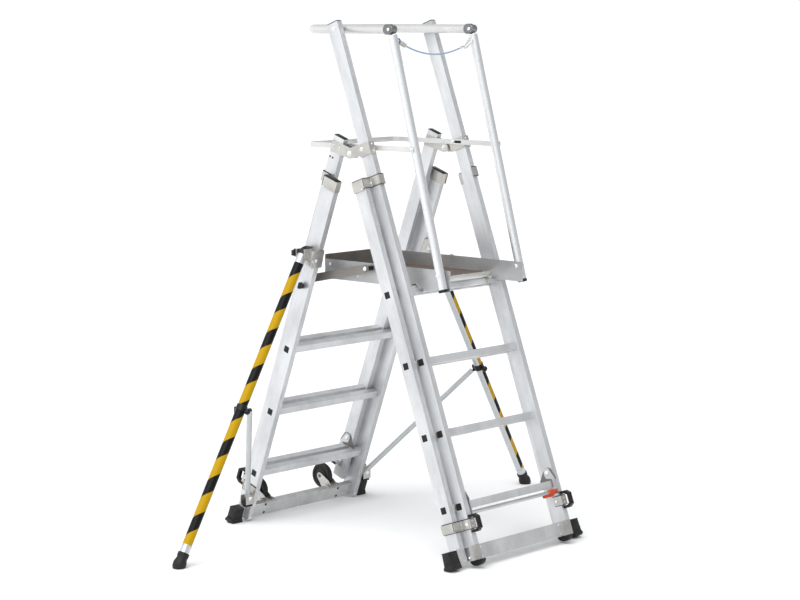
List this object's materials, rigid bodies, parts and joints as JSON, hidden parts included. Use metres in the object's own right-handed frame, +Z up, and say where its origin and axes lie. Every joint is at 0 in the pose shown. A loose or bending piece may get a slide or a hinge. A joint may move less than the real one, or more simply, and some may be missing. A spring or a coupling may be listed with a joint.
{
  "type": "folding telescopic platform ladder",
  "caption": "Folding telescopic A-frame platform ladder with guard rail, rope gate, kick boards, outrigger legs and transport wheels.",
  "frame": {"origin": "on the floor under the middle of the bounding box", "axes": "+Z up, +X along the rungs towards the right of someone climbing, +Y from the front climbing frame to the rear frame"},
  "size_m": [2.1102, 1.3438, 2.0381],
  "materials": {
    "stile_aluminium": "mill-finish extruded aluminium with fine lengthwise ribs",
    "rung_aluminium": "mill-finish square aluminium tube",
    "beam_aluminium": "mill-finish aluminium box section",
    "tube_aluminium": "drawn aluminium tube, satin",
    "board_aluminium": "grey aluminium sheet kick board",
    "flat_steel": "zinc-plated flat steel bar",
    "link_steel": "warm grey plated steel bar",
    "deck_ply": "film-faced plywood with an orange-brown cut edge",
    "boot_rubber": "moulded black rubber",
    "wheel_rubber": "black rubber wheel on a dark hub",
    "knuckle_cast": "dark grey cast joint",
    "black_plastic": "matt black plastic",
    "lever_steel": "zinc-plated rod and plates, with an orange-red grip on the front one",
    "pole_aluminium": "aluminium tube with black and yellow hazard tape",
    "rope_braid": "blue and white braided cord",
    "hook_steel": "plated snap hook"
  },
  "bodies": {
    "front_upper": {"front_post_l": "stile_aluminium", "front_post_r": "stile_aluminium", "front_upper_rung_1": "rung_aluminium", "front_upper_rung_2": "rung_aluminium", "front_upper_rung_3": "rung_aluminium", "front_upper_rung_4": "rung_aluminium"},
    "front_lower": {"front_lower_stile_l": "stile_aluminium", "front_lower_stile_r": "stile_aluminium", "front_lower_rung_1": "rung_aluminium", "front_lower_rung_2": "rung_aluminium", "front_lower_rung_3": "rung_aluminium", "front_lower_rung_4": "rung_aluminium", "front_base_beam": "beam_aluminium", "front_boot_l": "boot_rubber", "front_boot_r": "boot_rubber"},
    "rear_upper": {"rear_upper_stile_l": "stile_aluminium", "rear_upper_stile_r": "stile_aluminium", "rear_upper_rung_1": "rung_aluminium", "rear_upper_rung_2": "rung_aluminium", "rear_upper_rung_3": "rung_aluminium"},
    "rear_lower": {"rear_lower_stile_l": "stile_aluminium", "rear_lower_stile_r": "stile_aluminium", "rear_lower_rung_1": "rung_aluminium", "rear_lower_rung_2": "rung_aluminium", "rear_lower_rung_3": "rung_aluminium", "rear_base_beam": "beam_aluminium", "rear_boot_l": "boot_rubber", "rear_boot_r": "boot_rubber"},
    "platform": {"deck": "deck_ply", "side_board_l": "board_aluminium", "side_board_r": "board_aluminium", "toe_board": "board_aluminium"},
    "guard_rail": {"top_rail": "tube_aluminium", "rail_knuckle_l": "knuckle_cast", "rail_knuckle_r": "knuckle_cast"},
    "knee_rail": {"knee_rail": "flat_steel"},
    "gate_frame": {"down_tube_l": "tube_aluminium", "down_tube_r": "tube_aluminium", "gate_rope": "rope_braid", "gate_hook": "hook_steel"},
    "link_bars": {"link_bar_l": "link_steel", "link_bar_r": "link_steel"},
    "outrigger_l": {"outrigger_pole_l": "pole_aluminium", "outrigger_foot_l": "boot_rubber"},
    "clamp_l": {"outrigger_clamp_l": "black_plastic"},
    "stay_l": {"outrigger_stay_l": "tube_aluminium"},
    "wheel_l": {"castor_wheel_l": "wheel_rubber"},
    "knob_l": {"star_knob_l": "black_plastic"},
    "outrigger_r": {"outrigger_pole_r": "pole_aluminium", "outrigger_foot_r": "boot_rubber"},
    "clamp_r": {"outrigger_clamp_r": "black_plastic"},
    "stay_r": {"outrigger_stay_r": "tube_aluminium"},
    "wheel_r": {"castor_wheel_r": "wheel_rubber"},
    "knob_r": {"star_knob_r": "black_plastic"},
    "front_lever": {"front_release_lever": "lever_steel"},
    "front_latch_l": {"front_latch_l": "black_plastic"},
    "front_latch_r": {"front_latch_r": "black_plastic"},
    "rear_lever": {"rear_release_lever": "lever_steel"},
    "rear_latch_l": {"rear_latch_l": "black_plastic"},
    "rear_latch_r": {"rear_latch_r": "black_plastic"}
  },
  "joints": [
    {"name": "fold", "type": "hinge", "parent": "front_upper", "child": "rear_upper", "pos_m": [0, -0.00861, 1.527], "axis": [-1, 0, 0], "range_deg": [0, 36]},
    {"name": "front_extend", "type": "slide", "parent": "front_upper", "child": "front_lower", "axis": [0, -0.342, -0.9397], "range_m": [0, 0.84]},
    {"name": "rear_extend", "type": "slide", "parent": "rear_upper", "child": "rear_lower", "axis": [0, 0.342, -0.9397], "range_m": [0, 0.84]},
    {"name": "platform_tilt", "type": "hinge", "parent": "front_upper", "child": "platform", "pos_m": [0, -0.27951, 1.0137], "axis": [1, 0, 0], "range_deg": [0, 63.5]},
    {"name": "rail_tilt", "type": "hinge", "parent": "front_upper", "child": "guard_rail", "pos_m": [0, 0.08201, 2.00695], "axis": [1, 0, 0], "range_deg": [0, 44.8]},
    {"name": "knee_tilt", "type": "hinge", "parent": "front_upper", "child": "knee_rail", "pos_m": [0, -0.08455, 1.54932], "axis": [1, 0, 0], "range_deg": [0, 47.1]},
    {"name": "gate_swing", "type": "hinge", "parent": "guard_rail", "child": "gate_frame", "pos_m": [0, -0.17661, 2.005], "axis": [-1, 0, 0], "range_deg": [0, 48.3]},
    {"name": "link_swing", "type": "hinge", "parent": "rear_upper", "child": "link_bars", "pos_m": [0, 0.26229, 1.0137], "axis": [-1, 0, 0], "range_deg": [0, 15.2]},
    {"name": "outrigger_swing_r", "type": "hinge", "parent": "rear_lower", "child": "outrigger_r", "pos_m": [0.368, 0.17439, 1.128], "axis": [0, 1, 0], "range_deg": [0, 15]},
    {"name": "clamp_slide_r", "type": "slide", "parent": "outrigger_r", "child": "clamp_r", "axis": [-0.5033, -0.0054, 0.8641], "range_m": [0, 0.1448]},
    {"name": "stay_swing_r", "type": "hinge", "parent": "rear_lower", "child": "stay_r", "pos_m": [0.345, 0.51939, 0.108], "axis": [-0.2128, -0.8392, -0.5004], "range_deg": [0, 21.96]},
    {"name": "wheel_spin_r", "type": "hinge", "parent": "rear_lower", "child": "wheel_r", "pos_m": [0.19, 0.61899, 0.10383], "axis": [1, 0, 0], "continuous": true},
    {"name": "knob_turn_r", "type": "hinge", "parent": "rear_lower", "child": "knob_r", "pos_m": [0.336, 0.21718, 0.99728], "axis": [1, 0, 0], "continuous": true},
    {"name": "outrigger_swing_l", "type": "hinge", "parent": "rear_lower", "child": "outrigger_l", "pos_m": [-0.368, 0.17439, 1.128], "axis": [0, -1, 0], "range_deg": [0, 15]},
    {"name": "clamp_slide_l", "type": "slide", "parent": "outrigger_l", "child": "clamp_l", "axis": [0.5033, -0.0054, 0.8641], "range_m": [0, 0.1448]},
    {"name": "stay_swing_l", "type": "hinge", "parent": "rear_lower", "child": "stay_l", "pos_m": [-0.345, 0.51939, 0.108], "axis": [-0.2128, 0.8392, 0.5004], "range_deg": [0, 21.96]},
    {"name": "wheel_spin_l", "type": "hinge", "parent": "rear_lower", "child": "wheel_l", "pos_m": [-0.19, 0.61899, 0.10383], "axis": [1, 0, 0], "continuous": true},
    {"name": "knob_turn_l", "type": "hinge", "parent": "rear_lower", "child": "knob_l", "pos_m": [-0.336, 0.21718, 0.99728], "axis": [1, 0, 0], "continuous": true},
    {"name": "front_lever_pull", "type": "hinge", "parent": "front_upper", "child": "front_lever", "pos_m": [0, -0.55235, 0.26698], "axis": [-1, 0, 0], "range_deg": [0, 16], "stiffness_Nm_per_rad": 2},
    {"name": "front_latch_pull_l", "type": "slide", "parent": "front_upper", "child": "front_latch_l", "axis": [0, -0.9397, 0.342], "range_m": [0, 0.008], "stiffness_N_per_m": 600},
    {"name": "front_latch_pull_r", "type": "slide", "parent": "front_upper", "child": "front_latch_r", "axis": [0, -0.9397, 0.342], "range_m": [0, 0.008], "stiffness_N_per_m": 600},
    {"name": "rear_lever_pull", "type": "hinge", "parent": "rear_upper", "child": "rear_lever", "pos_m": [0, 0.53513, 0.26698], "axis": [1, 0, 0], "range_deg": [0, 16], "stiffness_Nm_per_rad": 2},
    {"name": "rear_latch_pull_l", "type": "slide", "parent": "rear_upper", "child": "rear_latch_l", "axis": [0, 0.9397, 0.342], "range_m": [0, 0.008], "stiffness_N_per_m": 600},
    {"name": "rear_latch_pull_r", "type": "slide", "parent": "rear_upper", "child": "rear_latch_r", "axis": [0, 0.9397, 0.342], "range_m": [0, 0.008], "stiffness_N_per_m": 600}
  ],
  "couplings": [
    {"joint": "platform_tilt", "follows": "fold", "ratio": 1.7639},
    {"joint": "rail_tilt", "follows": "fold", "ratio": 1.2444},
    {"joint": "knee_tilt", "follows": "fold", "ratio": 1.3083},
    {"joint": "gate_swing", "follows": "fold", "ratio": 1.3416},
    {"joint": "link_swing", "follows": "fold", "ratio": 0.4222},
    {"joint": "clamp_slide_r", "follows": "outrigger_swing_r", "m_per_rad": 0.55267},
    {"joint": "stay_swing_r", "follows": "outrigger_swing_r", "ratio": 1.4623},
    {"joint": "clamp_slide_l", "follows": "outrigger_swing_l", "m_per_rad": 0.55267},
    {"joint": "stay_swing_l", "follows": "outrigger_swing_l", "ratio": 1.4623}
  ]
}
